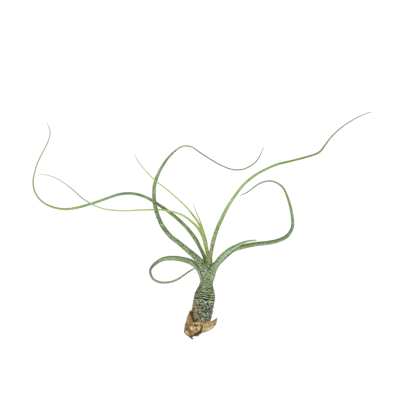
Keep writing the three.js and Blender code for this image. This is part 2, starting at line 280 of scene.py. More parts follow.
def sheath_size(layer, y):
    """Outer radius and wall of a layer of sheaths at height y."""
    belly, belly_wall, neck, neck_wall, opening = LAYERS[layer]
    share = (1 - math.cos(math.pi * min(1, max(0, (y - SHOULDER_Y) / (NECK_Y - SHOULDER_Y))))) / 2
    start = FOOT_Y + layer * LAYER_LIFT
    closing = math.sin(math.pi / 2 * min(1, max(0, (y - start) / FOOT_CLOSING_LENGTH)))
    crown = between(belly, neck, share) + opening * max(0, y - NECK_Y)
    radius = between(FOOT_RADIUS - layer * LAYER_STEP_AT_FOOT, crown, closing)
    if belly_wall == 0:
        return radius, 0
    return radius, between(FOOT_WALL, between(belly_wall, neck_wall, share), closing)


def welts(across, y, seed):
    """The low bumps of the bulb's skin, from about -1 to 1."""
    drift = noise.noise(Vector((across / 6, y / 5, seed)))
    tangle = noise.noise(Vector((across / 1.9, y / 1.3, seed + 9)))
    rows = math.sin(math.tau * (y + WELT_DRIFT * drift) / WELT_SPACING)
    return between(1.9 * tangle, 0.6 * rows + tangle, ease(-1, 4, y))


def streaks(place, lines):
    """What lines of (x, y, x, y, reach in mm, strength) add at a place, seen from above."""
    total = 0
    for x, y, end_x, end_y, reach, strength in lines:
        run_x, run_y = end_x - x, end_y - y
        length_squared = run_x ** 2 + run_y ** 2
        share = ((place.x - x) * run_x + (place.y - y) * run_y) / length_squared
        share = min(1, max(0, share))
        distance = math.hypot(place.x - x - run_x * share, place.y - y - run_y * share)
        total += strength * ease(reach, 0.4 * reach, distance)
    return min(1, max(-1, total))


def leaf_cut(radius, wall, low, high, groove):
    """A leaf cut across, from its low margin to its high one and back on the inner side.

    A corner is its place out and across, the share of its way from the keel to a margin, and 1 if inner.
    """
    outer, inner = [], []
    for corner in range(ARC_CORNERS):
        side = math.sin(math.pi / 2 * (2 * corner / (ARC_CORNERS - 1) - 1))
        angle = between(-low, high, (side + 1) / 2)
        lip = math.sqrt(max(0, 1 - abs(side) ** 10))
        thin = wall * (1 - MARGIN_THINNING * side * side)
        depth = radius - 0.5 * thin * (1 - lip)
        outer.append((depth * math.cos(angle), depth * math.sin(angle), side, 0))
        open_angle = between(math.tau - low, high, (side + 1) / 2)
        depth = radius - 0.5 * thin * (1 + lip)
        out = between(radius * math.cos(open_angle), depth * math.cos(angle), groove)
        across = between(radius * math.sin(open_angle), depth * math.sin(angle), groove)
        inner.append((out, across, side, 1))
    return outer + inner[-2:0:-1]


def curve_point(points, share):
    """A point of the centripetal curve through the points, and its direction there."""
    last = len(points) - 1
    span = min(last - 1, int(share * last))
    t = share * last - span
    second, third = points[span], points[span + 1]
    first = points[span - 1] if span > 0 else second * 2 - third
    fourth = points[span + 2] if span + 2 <= last else third * 2 - second
    gaps = [math.sqrt((b - a).length) for a, b in ((first, second), (second, third), (third, fourth))]
    start = ((second - first) / gaps[0] - (third - first) / (gaps[0] + gaps[1])) * gaps[1] + third - second
    end = ((fourth - third) / gaps[2] - (fourth - second) / (gaps[1] + gaps[2])) * gaps[1] + third - second
    square = third * 3 - second * 3 - start * 2 - end
    cube = second * 2 - third * 2 + start + end
    place = second + start * t + square * t ** 2 + cube * t ** 3
    return place, (start + square * (2 * t) + cube * (3 * t * t)).normalized()


def curve_value(values, share):
    """The smooth value of an even list of values."""
    last = len(values) - 1
    span = min(last - 1, int(share * last))
    t = share * last - span
    second, third = values[span], values[span + 1]
    first = values[max(0, span - 1)]
    fourth = values[min(last, span + 2)]
    start, end = (third - first) / 2, (fourth - second) / 2
    square = 3 * (third - second) - 2 * start - end
    cube = 2 * (second - third) + start + end
    return second + start * t + square * t ** 2 + cube * t ** 3


def leaf_rings(
    layer, azimuth, leaves, route, seed, mottle, dry_from, relief=0, papery=0, wrap=(0, 0), tones=(), dead=()
):
    """The rings of a leaf, its sheath first and then its blade along the route of (x, y, z, radius).

    layer counts from the outermost sheath, azimuth is where its keel faces, in degrees, and leaves is the
    height where it leaves the bundle. relief is the height of its welts, and papery how papery its margins
    are. mottle is the strength of its marks by the mm from where it leaves the bundle, and dry_from the
    number of the route's point where it starts to dry. wrap is how much further than the usual reach its low
    and high margin go, in degrees. tones are streaks of grey (less than 0) or green, and dead are streaks of
    dead skin.
    """
    rings = []

    def ring(centre, out, sideways, size, travelled, y, dry, lift):
        radius, wall, groove, slit = size
        usual = along_keys(REACH, travelled)
        low, high = (math.radians(usual + more * ease(-8, 0, travelled)) - slit for more in wrap)
        corners = []
        for reach_out, across, side, inner in leaf_cut(radius, wall, low, high, groove):
            round_keel = radius * (low if side < 0 else high) * side
            bump = lift * (1 - inner) * (1 - abs(side) ** 8) * welts(round_keel, y, seed) if lift else 0
            swell = 1 + bump / max(radius, 0.5)
            place = centre + out * (reach_out * swell) + sideways * (across * swell)
            edge = papery * ease(0.55, 0.8, abs(side)) * ease(9, -1, y)
            marks = (y, round_keel, side, inner, along_keys(mottle, travelled), dry, edge)
            marks += (streaks(place, tones), streaks(place, dead))
            corners.append((place, marks))
        rings.append(corners)

    start = FOOT_Y + layer * LAYER_LIFT
    turn = math.radians(azimuth)
    steps = round((leaves - start) / SHEATH_STEP)
    for step in range(steps + 1):
        y = between(start, leaves, step / steps)
        along, aside, up = axis_frame(y)
        out = aside * math.cos(turn) + up * math.sin(turn)
        radius, wall = sheath_size(layer, y)
        slit = MARGIN_SLIT / 2 / radius * ease(0, -3, y - leaves)
        lift = relief * ease(start + 2, start + 7, y) * between(1, 0.4, ease(9, 15, y))
        size = (radius, wall, 1 if wall else 0, slit)
        ring(axis_at(y), out, along.cross(out), size, y - leaves, y, 0, lift)
    foot, foot_wall = axis_at(leaves), wall
    points = [foot - along * ROUTE_LEAD, foot] + [Vector(point[:3]) for point in route]
    radii = [radius, radius] + [point[3] for point in route]
    spans = len(points) - 1
    travelled, before = 0, foot
    for span in range(1, spans):
        length = (points[span + 1] - points[span]).length
        pieces = max(2, math.ceil(length / BLADE_STEP))
        for step in range(1, pieces + 1):
            number = span + step / pieces
            centre, along = curve_point(points, number / spans)
            travelled += (centre - before).length
            before = centre
            out = (out - along * out.dot(along)).normalized()
            dry = ease(dry_from - 1, dry_from + 1.5, number - 1)
            old = ease(dry_from + 1, dry_from + 5, number - 1)
            wither = WITHER + DRY_WITHER * dry
            radius = curve_value(radii, number / spans)
            radius *= 1 + wither * noise.noise(Vector((travelled / (6 - 4 * dry), seed, 7)))
            rolled = min(1, travelled / ROLLING_LENGTH)
            wall = max(THINNEST_BLADE, between(foot_wall, ROLLED_WALL_SHARE * radius, rolled))
            groove = min(1, max(0, (radius - NO_GROOVE_RADIUS) / (FULL_GROOVE_RADIUS - NO_GROOVE_RADIUS)))
            size = (radius, min(wall, 0.9 * radius), groove if foot_wall else 0, 0)
            lift = relief * 0.4 * ease(10, 0, travelled)
            ring(centre, out, along.cross(out), size, travelled, leaves + travelled, dry + old, lift)
    return rings


def blade_tip(rings):
    """A point a little beyond the last ring."""
    last, before = rings[-1], rings[-2]
    middle = sum((place for place, _ in last), Vector()) / len(last)
    previous = sum((place for place, _ in before), Vector()) / len(before)
    return middle + (middle - previous).normalized() * TIP_LENGTH


def weave(paint, height, across, seed, period, wander, size):
    """Lines round the leaf, from -1 to 1, period mm apart, that wander by as many periods."""
    swerve = paint.grain(paint.point(across, height, seed), size, detail=1.5)
    return paint.reckon("SINE", (height * (1 / period) + swerve * wander) * math.tau, 0.0)


def leaf_paint(
    piece, name, seed, ground, blade, shade, marks, inside, painted_edge_shade, dry, keel=0, greening=(16.0, 30.0)
):
    """The skin of a leaf.

    ground is the green of its sheath and blade that of its blade, and shade a deeper green, for its darker
    patches and for painted shade. marks is the dark of its spots, and inside the green of the channel's
    inner side, kept light to make up for the shade in the channel, so partly painted light.
    painted_edge_shade is how much painted shade darkens the leaf towards its high margin, or its low one if
    less than 0, as the rolled channel shades that side; dry its dead colours, and keel how strong the painted
    highlight along its back is. greening is where the ground turns into the blade's green, in mm above the
    belly's middle.
    """
    paint = Paint(name, gloss=0.2)
    height, across, side = paint.mark("height"), paint.mark("across"), paint.mark("side")
    inner, mottle = paint.mark("inner"), paint.mark("mottle")
    place = paint.place()
    clouds = paint.grain(place, 5.0)
    fine = paint.grain(place, 0.4)
    coat = inner * 7.0 + seed

    belly = 1.0 - height.eased(8.0, 12.5)
    wild = 1.0 - height.eased(-1.0, 4.5)
    bands = weave(paint, height, across, coat, 1.75, wild * 2.0 + 1.8, 2.6)
    dashes = weave(paint, height, across, coat + 3.0, 1.8, 2.6, 1.9)
    lines = dashes * (1.0 - belly) + bands * belly
    clumps = paint.grain(place, 3.0)
    patchy = (clouds - 0.5) * (belly * 0.8 + 0.8) + (clumps - 0.5) * wild * 2.6
    spots = (lines + patchy).eased(-0.4, 0.15)

    green = paint.mix(ground, dye(140, 136, 112), (1.0 - height.eased(-10.0, 0.0)) * 0.7)
    green = paint.mix(green, blade, height.eased(*greening))
    veins = paint.grain(paint.point(side * 2.5, height * 0.1, coat), 1.0)
    free = height.eased(18.0, 26.0)
    deep = (clouds * (1.0 - free) + veins * free + fine * 0.6 - 0.3).eased(0.35, 0.75)
    green = paint.mix(green, shade, deep * (height.eased(26.0, 42.0) * 0.65 + 0.35))
    neck = height.eased(3.0, 12.0) * (1.0 - height.eased(20.0, 26.0))
    green = paint.mix(green, shade, neck * 0.3)
    # Painted shade: the leaf darkens towards one margin, as the rolled channel shades that side.
    edge = side if painted_edge_shade > 0 else side * -1.0
    green = paint.mix(green, shade, edge.eased(-0.2, 0.9) * abs(painted_edge_shade))
    # The channel's inner side takes the inside green, kept light to make up for the shade in the channel:
    # partly painted light.
    green = paint.mix(green, inside, inner * 0.8)
    from_keel = paint.reckon("ABSOLUTE", side, 0.0)
    # Painted highlight: a pale line along the keel on the outer side above the neck, as light catches the
    # leaf's back.
    back = (1.0 - from_keel.eased(0.08, 0.4)) * (1.0 - inner) * height.eased(16.0, 26.0)
    green = paint.mix(green, dye(196, 210, 180), back * keel)
    green = paint.mix(green, dye(98, 126, 48), paint.mark("tone").eased(0.0, 1.0) * 0.8)
    green = paint.mix(green, dye(96, 108, 118), paint.mark("tone").eased(0.0, -1.0) * 0.75)
    paper = (paint.mark("papery") + (clouds - 0.5) * 1.4 + (fine - 0.5)).eased(0.45, 0.8)
    green = paint.mix(green, dye(176, 154, 120), paper * 0.8)
    green = paint.mix(green, marks, spots * mottle * (1.0 - inner * 0.5))
    rim = from_keel.eased(0.9, 0.97) * height.eased(12.0, 17.0)
    rim_green = paint.mix(dye(196, 208, 172), dye(88, 96, 56), height.eased(26.0, 32.0))
    green = paint.mix(green, rim_green, rim * 0.7)
    ashes = paint.mix(dye(146, 130, 98), dye(64, 54, 36), (lines * 0.4 + fine).eased(0.3, 0.6))
    dead_blade = paint.mark("dry")
    withered = paint.mix(dry[0], dry[1], (dead_blade * 0.8 + fine).eased(1.1, 1.9))
    green = paint.mix(green, withered, dead_blade)
    green = paint.mix(green, ashes, (paint.mark("dead") + (fine - 0.5) * 0.8).eased(0.3, 0.6))
    relief = fine * 0.3 - spots * mottle * (1.0 - dead_blade.eased(0.0, 1.0)) * 0.55
    paint.finish(piece, green, fine * 0.2 + 0.6, relief, LEAF_RELIEF)


spike_rings = leaf_rings(
    layer=4, azimuth=60, leaves=40, seed=5, mottle=[(0, 0.5), (40, 0.2)], dry_from=5,
    route=[
        (3.1, 44, 11.2, 0.7), (2.2, 50, 12, 0.62), (0, 58, 13.5, 0.56), (-3, 66.5, 15.5, 0.5),
        (-5.5, 72.5, 17, 0.38), (-8.5, 80, 19, 0.2),
    ],
)
spike = pull_skin("youngest_leaf", spike_rings, LEAF_MARKS, tip=blade_tip(spike_rings))
DEAD_THREAD = (dye(144, 146, 134), dye(158, 160, 150))
leaf_paint(
    spike, "tender_leaf", seed=5, painted_edge_shade=0.3, dry=DEAD_THREAD,
    ground=dye(168, 182, 104), blade=dye(172, 188, 104), shade=dye(140, 160, 66),
    marks=dye(104, 122, 50), inside=dye(172, 186, 110),
)
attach(spike, "root")
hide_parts("leaf_9_centre_spike")

# ---- The two thin young leaves
#
# One goes far to the left, low over the surface, and ends in a dead grey thread. The other rises to the upper
# left. Light green, 2 to 3 mm thick near the bundle and about 1 mm further out, and rolled almost shut. Their
# sheaths face each other round the spike.

thin_left_rings = leaf_rings(
    layer=3, azimuth=280, leaves=36, seed=17, mottle=[(-20, 0.8), (14, 0.6), (30, 0.25)], dry_from=13.5,
    route=[
        (3.1, 40, 10.2, 1.8), (2.2, 43.5, 9.7, 1.55), (1.1, 48, 9.2, 1.3), (-0.5, 53.5, 8.9, 1.15),
        (-4.5, 60.5, 9, 0.95), (-9.5, 65.5, 9.3, 0.88), (-16.5, 70.5, 9.5, 0.77), (-25, 73.5, 9.5, 0.72),
        (-34.5, 75, 9.3, 0.7), (-46.5, 74.9, 8.8, 0.66), (-60, 74.3, 8, 0.6), (-71, 74.5, 7, 0.56),
        (-80, 75.8, 6.4, 0.54), (-88, 78.8, 6, 0.5), (-96, 83.6, 6.4, 0.52), (-106, 92.3, 8.8, 0.5),
        (-115.5, 99, 11.5, 0.4), (-124, 102.5, 14, 0.32), (-133, 103.5, 16.5, 0.2),
    ],
)
thin_upper_rings = leaf_rings(
    layer=3, azimuth=100, leaves=36, seed=23, mottle=[(-20, 0.8), (30, 0.6), (60, 0.3)], dry_from=12,
    route=[
        (3.4, 40, 11.5, 1.8), (2.7, 43.5, 12.7, 1.6), (1.7, 48, 14.2, 1.4), (0.2, 53, 16, 1.05),
        (-3, 62.5, 19.5, 0.88), (-9, 71.5, 24, 0.72), (-14.5, 78, 28, 0.58), (-22, 85, 32.5, 0.51),
        (-29, 91, 37, 0.5), (-38, 98, 42, 0.46), (-46.5, 106.5, 46.5, 0.41), (-52, 113.5, 50, 0.37),
        (-55.5, 119.5, 52.5, 0.2),
    ],
)
for name, node, seed, rings, blade, shade in (
    ("thin_left_leaf", "leaf_7_thin_left", 17, thin_left_rings, dye(166, 191, 112), dye(136, 163, 82)),
    ("thin_upper_leaf", "leaf_8_thin_upper", 23, thin_upper_rings, dye(170, 188, 112), dye(134, 154, 72)),
):
    leaf = pull_skin(name, rings, LEAF_MARKS, tip=blade_tip(rings))
    leaf_paint(
        leaf, name + "_skin", seed, ground=dye(156, 164, 104), blade=blade, shade=shade,
        marks=dye(78, 92, 42), inside=blade, painted_edge_shade=0.4, dry=DEAD_THREAD, greening=(34.0, 60.0),
    )
    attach(leaf, "root")
    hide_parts(node)

# ---- The two long leaves
#
# The longest one goes to the far left, touches the surface on the way and rises again in a grey thread. The
# other rises to the upper right. Channelled blades, 2 to 4 mm thick where they are free and green, with
# sheaths that face each other.

far_left_rings = leaf_rings(
    layer=2, azimuth=205, leaves=31, seed=31, dry_from=17.5,
    mottle=[(-8, 1), (25, 0.6), (40, 0.35), (60, 0.9), (68, 0.9), (76, 0.4), (115, 0.15)],
    dead=[(0.9, 46, 2, 38, 0.9, 0.6)],
    tones=[
        (-49, 86.8, -59.2, 88.6, 0.9, -0.6), (-60.6, 88.6, -67.4, 87.8, 0.9, -0.7),
        (-68.6, 87.5, -78.5, 84.2, 0.9, -0.6),
    ],
    route=[
        (3, 35, 10.1, 3.4), (1.7, 38.5, 9.7, 2.8), (-0.4, 42, 9.1, 2.3), (-2.8, 46, 8.3, 1.9),
        (-6.6, 52, 7.2, 1.64), (-13.1, 60.3, 6, 1.46), (-21, 68, 4.8, 1.38), (-28.5, 74, 3.8, 1.33),
        (-36.5, 79.5, 3, 1.26), (-44, 84, 2.3, 1.22), (-52, 87.1, 1.7, 1.18), (-60, 88.15, 1.3, 1.13),
        (-68, 87.2, 1.15, 1.13), (-78.5, 83.7, 1.05, 1.05), (-89.5, 79.9, 1.05, 1.02), (-100, 77, 1.1, 1),
        (-110.5, 75.5, 2, 0.9), (-121.5, 77.5, 5, 0.82), (-129.5, 82, 9.5, 0.76), (-134.6, 89, 15, 0.74),
        (-136.1, 97, 20.5, 0.66), (-134.8, 105, 25.5, 0.58), (-132, 113.5, 30.5, 0.54),
        (-128, 121.5, 35, 0.5), (-124, 129.5, 39, 0.46), (-122.3, 136, 42.5, 0.41), (-123.3, 141, 45, 0.33),
        (-125, 144.5, 47, 0.2),
    ],
)
far_left = pull_skin("far_left_leaf", far_left_rings, LEAF_MARKS, tip=blade_tip(far_left_rings))
leaf_paint(
    far_left, "deep_green_leaf", seed=31, painted_edge_shade=-0.6, greening=(32.0, 56.0),
    ground=dye(122, 118, 80), blade=dye(142, 169, 100), shade=dye(88, 114, 62),
    marks=dye(40, 60, 26), inside=dye(134, 160, 90), dry=(dye(140, 150, 82), dye(140, 144, 114)),
)
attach(far_left, "root")
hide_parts("leaf_5_far_left")

far_right_rings = leaf_rings(
    layer=2, azimuth=25, leaves=30, seed=37, dry_from=13.5, wrap=(20, 0),
    mottle=[(-8, 0.9), (20, 0.8), (45, 0.6), (70, 0.2)],
    tones=[(36, 99, 60, 112, 3, 0.55), (63, 112.4, 82, 117.5, 3, 0.9)],
    route=[
        (4, 33.5, 11.1, 3.1), (4.6, 37.5, 12.6, 2.4), (5.8, 42.5, 14.6, 2), (7.9, 50.5, 17.2, 1.75),
        (11, 60, 20, 1.6), (15, 69, 23, 1.5), (20, 78.5, 26, 1.31), (26, 87.5, 29, 1.19),
        (32.5, 95.5, 32, 1.15), (41, 102.5, 34.5, 1.05), (49, 107, 36.5, 1), (58, 111, 38.5, 1),
        (70, 114, 40.5, 0.92), (81.5, 117, 42, 0.88), (92.3, 121, 43.5, 0.84), (97.2, 127, 44.5, 0.74),
        (102, 133.2, 45.5, 0.64), (111, 141.4, 47.5, 0.54), (121.5, 148, 49, 0.46), (130.5, 152, 50, 0.35),
        (134.5, 153, 50.5, 0.22),
    ],
)
far_right = pull_skin("far_right_leaf", far_right_rings, LEAF_MARKS, tip=blade_tip(far_right_rings))
leaf_paint(
    far_right, "olive_leaf", seed=37, painted_edge_shade=0.4, greening=(36.0, 72.0),
    ground=dye(154, 154, 112), blade=dye(152, 176, 120), shade=dye(130, 156, 92),
    marks=dye(78, 88, 52), inside=dye(156, 174, 116), dry=(dye(108, 114, 64), dye(130, 132, 106)),
)
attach(far_right, "root")
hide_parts("leaf_6_far_right")

# ---- The two hooked leaves
#
# Thick mottled leaves whose sheaths are the second layer of the bulb. The tall one arches up to the left and
# back, with a long dead thread at its end. The other lies low to the right and turns up and back in a hook.

tall_rings = leaf_rings(
    layer=1, azimuth=115, leaves=21, seed=41, relief=0.2, dry_from=15, wrap=(0, 25),
    mottle=[(-6, 0.85), (10, 0.85), (36, 0.75), (48, 0.6), (58, 0.85), (75, 0.8), (95, 0.45)],
    # The first dead streak, along the tall leaf's lower edge where it meets the left loop, is partly dead
    # skin and partly painted shade of that junction.
    dead=[(-5.5, 32.5, -20, 44.6, 0.8, 0.45), (-25.6, 119, -22.4, 122.4, 0.8, 0.8)],
    route=[
        (2.7, 24, 9.9, 4.35), (1.4, 27, 10.7, 4.1), (-0.4, 30, 11.8, 3.65), (-2.6, 33.4, 13.7, 3),
        (-6.4, 37.3, 16, 2.5), (-12, 42.2, 18.8, 2.1), (-19.5, 48.5, 22.3, 1.94), (-26.5, 54, 25, 1.84),
        (-33, 62.5, 28.5, 1.74), (-37.4, 73, 32, 1.64), (-39.4, 84, 35, 1.55), (-39, 95, 37.5, 1.44),
        (-35, 106, 39.5, 1.25), (-28.5, 116, 41, 0.95), (-22.5, 122, 41.8, 0.72), (-17, 125.5, 42, 0.62),
        (-10.5, 125.5, 41.5, 0.56), (-2.5, 120.5, 40, 0.54), (6, 115, 38.5, 0.5), (15, 110, 37.5, 0.49),
        (24, 107, 37.5, 0.49), (32, 107.5, 38.5, 0.49), (39, 111, 40.5, 0.48), (43.5, 115.5, 43, 0.42),
        (48, 125, 47, 0.25),
    ],
)
tall = pull_skin("tall_hooked_leaf", tall_rings, LEAF_MARKS, tip=blade_tip(tall_rings))
leaf_paint(
    tall, "mottled_tall_leaf", seed=41, painted_edge_shade=0.55, greening=(24.0, 42.0),
    ground=dye(174, 182, 154), blade=dye(148, 171, 127), shade=dye(94, 118, 74),
    marks=dye(40, 46, 36), inside=dye(136, 158, 112), dry=(dye(144, 138, 92), dye(108, 104, 88)),
)
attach(tall, "root")
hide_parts("leaf_4_tall_hook")

hooked_right_rings = leaf_rings(
    layer=1, azimuth=295, leaves=21, seed=43, relief=0.2, dry_from=14.5,
    mottle=[(-6, 1), (14, 0.85), (24, 0.9), (42, 0.35), (58, 0.65)],
    tones=[(15, 36.5, 25, 43.6, 1.4, -0.5)],
    route=[
        (4.4, 25, 8.9, 4.3), (6.6, 28.5, 7.4, 3.7), (10.1, 31.8, 6, 3), (14, 35.3, 4.9, 2.5),
        (18.5, 39.3, 4, 2.2), (24.3, 43.4, 3.1, 2), (32, 45.6, 2.6, 1.9), (42, 47.5, 2.2, 1.8),
        (51, 48.5, 1.9, 1.7), (60, 50.5, 1.7, 1.6), (67.2, 54.3, 1.5, 1.5), (71, 61, 1.3, 1.3),
        (71, 69, 1.2, 1.2), (69.5, 77.5, 1.6, 1.1), (67, 85.5, 3.2, 0.9), (64, 92, 6.5, 0.8),
        (59.5, 96, 11, 0.7), (53.5, 98, 16.5, 0.65), (46, 96.5, 22, 0.6), (39.5, 92.5, 26.5, 0.5),
        (35, 89, 30, 0.48), (29, 86.3, 33.5, 0.3),
    ],
)
hooked_right_tip = blade_tip(hooked_right_rings)
hooked_right = pull_skin("hooked_right_leaf", hooked_right_rings, LEAF_MARKS, tip=hooked_right_tip)
leaf_paint(
    hooked_right, "mottled_right_leaf", seed=43, painted_edge_shade=-0.4,
    ground=dye(164, 180, 140), blade=dye(160, 184, 136), shade=dye(116, 142, 92),
    marks=dye(40, 56, 30), inside=dye(154, 176, 128), dry=(dye(128, 120, 76), dye(130, 124, 100)),
)
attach(hooked_right, "root")
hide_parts("leaf_3_hooked_right")

# ---- The two outer leaves
#
# The oldest living leaves. Their sheaths, 17 mm across, are what shows of the bulb: silvery skin with dark
# wavy welts, and thin brown margins. One loops back on the left and is dead from its bend to its tip. The
# other is short, with a dry tip that looks cut.

BULB_DEAD_SKIN = [(-8.8, -7.5, -5, -13.6, 2, 1)]

left_loop_rings = leaf_rings(
    layer=0, azimuth=235, leaves=18, seed=51, relief=0.25, dry_from=8.5, papery=0.9, wrap=(0, 30),
    mottle=[(-6, 1), (8, 0.7), (16, 0.4), (26, 0.35), (34, 0.5)],
    dead=BULB_DEAD_SKIN + [
        (-24, 38.6, -34, 36, 0.8, 0.35), (-13, 24.8, -6.5, 28.5, 0.9, 0.7),
    ],
    route=[
        (1.9, 22, 8.6, 5.25), (0.3, 25, 7.4, 4.7), (-2.2, 28, 6.6, 3.8), (-5.5, 30.8, 6, 3),
        (-9.5, 33, 5, 2.45), (-14.5, 34.8, 4.1, 2.15), (-22.5, 36.2, 3.2, 2), (-31.5, 35.7, 2.5, 1.7),
        (-38.5, 32, 2, 1.3), (-42.5, 27, 1.6, 1), (-42, 22.5, 1.4, 1), (-39.5, 19, 1.6, 0.95),
        (-34.5, 17, 2.4, 0.92), (-28, 17, 4, 0.88), (-21.5, 19, 6.2, 0.8), (-16, 22.5, 9, 0.74),
        (-11, 26, 11.8, 0.65), (-6.5, 28.5, 14.5, 0.4),
    ],
)
left_loop = pull_skin("left_loop_leaf", left_loop_rings, LEAF_MARKS, tip=blade_tip(left_loop_rings))
leaf_paint(
    left_loop, "mottled_left_leaf", seed=51, painted_edge_shade=0.45,
    ground=dye(160, 164, 134), blade=dye(166, 192, 140), shade=dye(112, 136, 88),
    marks=dye(24, 34, 20), inside=dye(152, 178, 128), dry=(dye(88, 94, 74), dye(130, 128, 102)),
)
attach(left_loop, "root")
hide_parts("leaf_1_left_loop")

short_right_rings = leaf_rings(
    layer=0, azimuth=55, leaves=17, seed=57, relief=0.25, dry_from=8.6, papery=0.8,
    mottle=[(-6, 1), (6, 0.75), (14, 0.7), (24, 0.5), (40, 0.4)],
    dead=BULB_DEAD_SKIN + [
        (10.5, 36.5, 16, 43, 0.8, 0.6), (16, 43, 23, 48, 0.8, 0.6), (23, 48, 31, 51.3, 0.8, 0.7),
    ],
    tones=[(3.4, 7.8, 4.6, 5, 2.2, 1), (1.6, 3.2, 4, 2.6, 1.8, -1), (2.4, -5, 5, -6.5, 2, -1)],
    route=[
        (3.1, 20, 9.7, 5.2), (4.5, 23, 10.8, 5), (6.5, 26.6, 12.2, 4), (9.7, 30.9, 13.5, 2.9),
        (14.3, 36.7, 14.8, 2.4), (20.7, 42.6, 16.2, 2), (26.8, 46.3, 17.8, 1.55), (33.5, 49.4, 19.8, 0.95),
        (38.5, 50.4, 21.2, 0.7), (42.5, 50.7, 22.4, 0.5),
    ],
)
short_right = pull_skin("short_right_leaf", short_right_rings, LEAF_MARKS, tip=blade_tip(short_right_rings))
leaf_paint(
    short_right, "mottled_short_leaf", seed=57, painted_edge_shade=-0.3, keel=0.45,
    ground=dye(160, 164, 134), blade=dye(147, 169, 125), shade=dye(106, 128, 86),
    marks=dye(24, 34, 20), inside=dye(142, 160, 118), dry=(dye(140, 138, 100), dye(120, 112, 82)),
)
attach(short_right, "root")
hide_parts("leaf_2_short_right")

# ---- The dry scales at the foot
#
# Three papery rests of old leaf bases, 0.4 mm thick, brown and brittle. The left one stands off the bulb with
# a dark gap behind it, the right one ends in a horn, and the front one is crumpled over the stem's end.
# Painted shade darkens their holes, the gap at the left one's tip and the creases of the horn's folds.

SCALE_STEP = 0.35
PAPER_WALL = 0.4
TONE_LIFT = 0.35
FOLD_SPACING = 1.7
FOLD_SHADE = 0.45
PAPER_RELIEF = 0.3
SCALE_MARKS = ("along", "across", "side", "inner", "tone")


def scale_rings(azimuth, route, wall, seed, fray, crumple, folds=0, tones=()):
    """The rings of a scale or root along a route of (x, y, z, radius, half angle in degrees).

    folds is the height of the folds across it, and tones are streaks that are raised and light, or sunk
    and dark if less than 0; the dark ones carry painted shade, as of a hole or a gap.
    """
    points = [Vector(point[:3]) for point in route]
    spans = len(points) - 1
    turn = math.radians(azimuth)
    out = Vector((math.cos(turn), 0, math.sin(turn)))
    rings, travelled, before = [], 0, points[0]
    for span in range(spans):
        pieces = math.ceil((points[span + 1] - points[span]).length / SCALE_STEP)
        for step in range(0 if span == 0 else 1, pieces + 1):
            share = step / pieces
            centre, along = curve_point(points, (span + share) / spans)
            travelled += (centre - before).length
            before = centre
            out = (out - along * out.dot(along)).normalized()
            radius = between(route[span][3], route[span + 1][3], share)
            angle = math.radians(between(route[span][4], route[span + 1][4], share))
            angle *= 1 + fray * noise.noise(Vector((travelled / 1.3, seed, 1)))
            sideways = along.cross(out)
            corners = []
            for reach_out, across, side, inner in leaf_cut(radius, wall, angle, angle, 1 if wall else 0):
                bend = crumple * noise.noise(Vector((side * 2.2, travelled / 3, seed)))
                crease = abs(noise.noise(Vector((side * 3, travelled / 2.2, seed + 5))))
                bend += crumple * (0.3 - 1.6 * crease)
                bend += folds * math.sin(math.tau * (travelled / FOLD_SPACING + 0.25 * side + 3 * bend))
                stretch = 1 + bend / max(radius, 1)
                place = centre + out * (reach_out * stretch) + sideways * (across * stretch)
                tone = streaks(place, tones)
                place += out * (TONE_LIFT * tone)
                corners.append((place, (travelled, side * radius * angle, side, inner, tone)))
            rings.append(corners)
    return rings


def paper_paint(piece, name, straw, brown, dark, rust, bleach, fold_shade_and_relief=0):
    """Dead leaf: brown, with straw fibres along it, rusty and bleached patches, dark stains, painted shade in
    the creases of its folds and in its sunk dark streaks, and a darker inner side.
    """
    paint = Paint(name, gloss=0.15)
    along, across, side, tone = (paint.mark(mark) for mark in ("along", "across", "side", "tone"))
    place = paint.place()
    fibres = paint.grain(paint.point(across * 2.2, along * 0.35, paint.mark("inner") * 5.0), 0.8, detail=4.0)
    stains = paint.grain(place, 1.8, detail=3.0, warp=0.5)
    flecks = paint.grain(place, 0.5)
    folds = paint.reckon("SINE", (along * (1 / FOLD_SPACING) + side * 0.25 + stains) * math.tau, 0.0)
    clouds = paint.grain(place, 4.0)
    warmed = paint.mix(brown, rust, clouds.eased(0.48, 0.66) * 0.6)
    bleached = paint.mix(straw, bleach, clouds.eased(0.5, 0.34) * 0.7)
    colour = paint.mix(warmed, bleached, (fibres + flecks * 0.3 + tone * 0.4).eased(0.5, 0.85))
    colour = paint.mix(colour, dark, (stains - tone * 0.15).eased(0.52, 0.64) * (0.85 - fold_shade_and_relief))
    # Painted shade: the folds are darkened along their creases.
    colour = paint.mix(colour, dark, folds.eased(0.3, 1.0) * fold_shade_and_relief)
    rim = paint.reckon("ABSOLUTE", side, 0.0)
    colour = paint.mix(colour, dye(168, 160, 136), (rim + (flecks - 0.5) * 0.3).eased(0.8, 1.0) * 0.6)
    colour = paint.mix(colour, dye(204, 192, 156), (tone + (flecks - 0.5) * 0.8).eased(0.4, 1.0) * 0.7)
    # Painted shade: sunk dark streaks (tones below 0) are darkened like the holes and gaps they stand for.
    colour = paint.mix(colour, dye(58, 44, 34), (tone * -1.0 + (flecks - 0.5) * 0.8).eased(0.35, 0.9))
    colour = paint.mix(colour, dark, paint.mark("inner") * 0.6)
    paint.finish(piece, colour, flecks * 0.2 + 0.65, fibres + flecks * 0.4 - folds * fold_shade_and_relief, PAPER_RELIEF)


